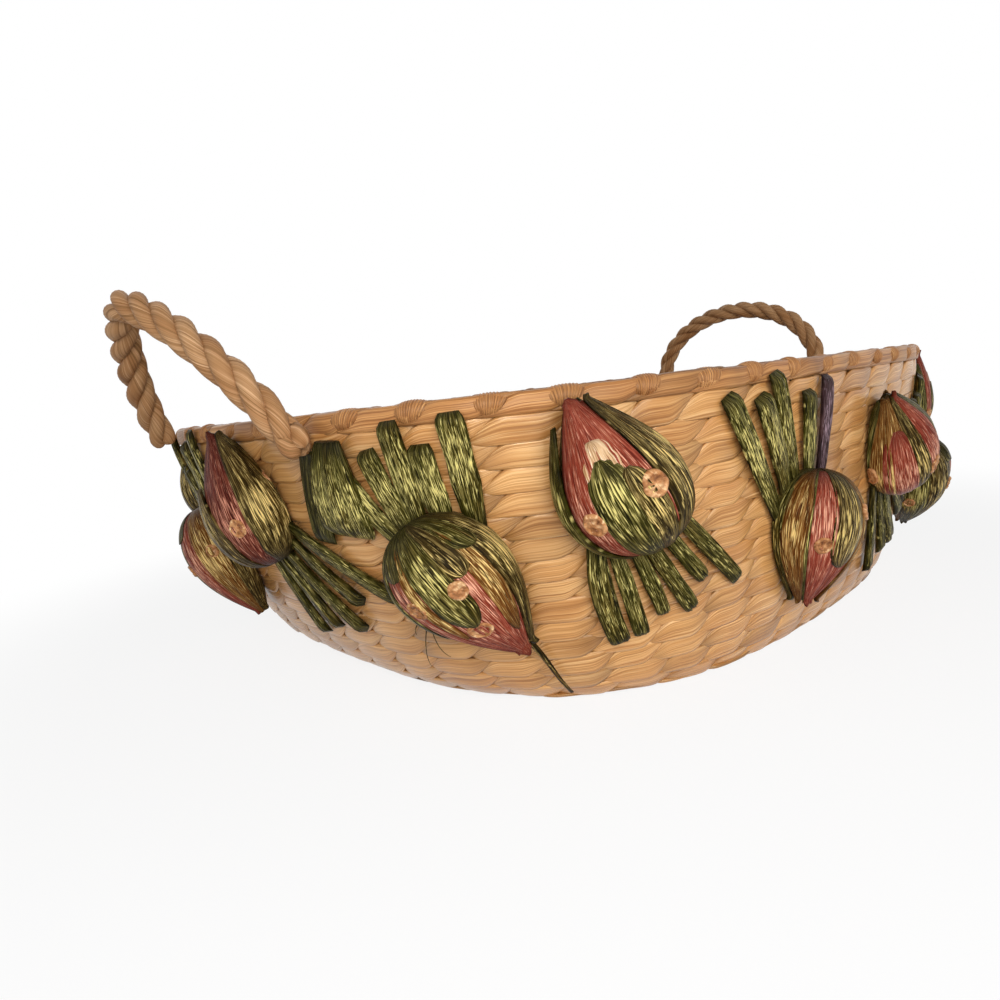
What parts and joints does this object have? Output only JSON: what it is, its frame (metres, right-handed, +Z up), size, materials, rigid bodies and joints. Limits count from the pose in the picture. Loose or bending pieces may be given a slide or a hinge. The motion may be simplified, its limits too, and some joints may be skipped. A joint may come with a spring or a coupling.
{
  "type": "woven casserole basket",
  "caption": "Oval woven basket with two hinged rope handles and raffia bulb ornaments round its wall, to carry and serve a casserole dish.",
  "frame": {"origin": "middle of the base, on the surface that the basket stands on", "axes": "+Z up, +X along the oval from the left handle to the right handle, -Y the front side"},
  "size_m": [0.4735, 0.39, 0.1763],
  "materials": {
    "weave": "twined flat plant-fibre strands, golden tan, satin",
    "rim": "rolled plant-fibre strand with finely wrapped bands, golden tan",
    "stake": "plain cane, hidden in the weave",
    "rope": "three-strand twisted plant-fibre rope, dull tan",
    "bulb_raffia": "silky raffia strips, dusty red, green and gold",
    "leaf_raffia": "silky raffia bundles, dark green with a yellow sheen"
  },
  "bodies": {
    "basket": {"stake_frame": "stake", "base_panel": "weave", "weave_row_01": "weave", "weave_row_02": "weave", "weave_row_03": "weave", "weave_row_04": "weave", "weave_row_05": "weave", "weave_row_06": "weave", "weave_row_07": "weave", "weave_row_08": "weave", "weave_row_09": "weave", "weave_row_10": "weave", "weave_row_11": "weave", "weave_row_12": "weave", "weave_row_13": "weave", "weave_row_14": "weave", "rim_roll": "rim", "bulb_01": "bulb_raffia", "leaf_fan_01": "leaf_raffia", "bulb_02": "bulb_raffia", "leaf_fan_02": "leaf_raffia", "bulb_03": "bulb_raffia", "leaf_fan_03": "leaf_raffia", "bulb_04": "bulb_raffia", "leaf_fan_04": "leaf_raffia", "bulb_05": "bulb_raffia", "leaf_fan_05": "leaf_raffia", "bulb_06": "bulb_raffia", "leaf_fan_06": "leaf_raffia", "bulb_07": "bulb_raffia", "leaf_fan_07": "leaf_raffia", "bulb_08": "bulb_raffia", "leaf_fan_08": "leaf_raffia", "bulb_09": "bulb_raffia", "leaf_fan_09": "leaf_raffia", "bulb_10": "bulb_raffia", "leaf_fan_10": "leaf_raffia", "bulb_11": "bulb_raffia", "leaf_fan_11": "leaf_raffia", "bulb_12": "bulb_raffia", "leaf_fan_12": "leaf_raffia", "bulb_13": "bulb_raffia", "leaf_fan_13": "leaf_raffia", "bulb_14": "bulb_raffia", "leaf_fan_14": "leaf_raffia", "bulb_15": "bulb_raffia", "leaf_fan_15": "leaf_raffia", "bulb_16": "bulb_raffia", "leaf_fan_16": "leaf_raffia"},
    "left_handle": {"left_handle_rope": "rope"},
    "right_handle": {"right_handle_rope": "rope"}
  },
  "joints": [
    {"name": "left_handle_tilt", "type": "hinge", "parent": "basket", "child": "left_handle", "pos_m": [-0.21301, 0, 0.115], "axis": [0, -1, 0], "range_deg": [-25, 45]},
    {"name": "right_handle_tilt", "type": "hinge", "parent": "basket", "child": "right_handle", "pos_m": [0.21301, 0, 0.115], "axis": [0, 1, 0], "range_deg": [-2, 68]}
  ]
}
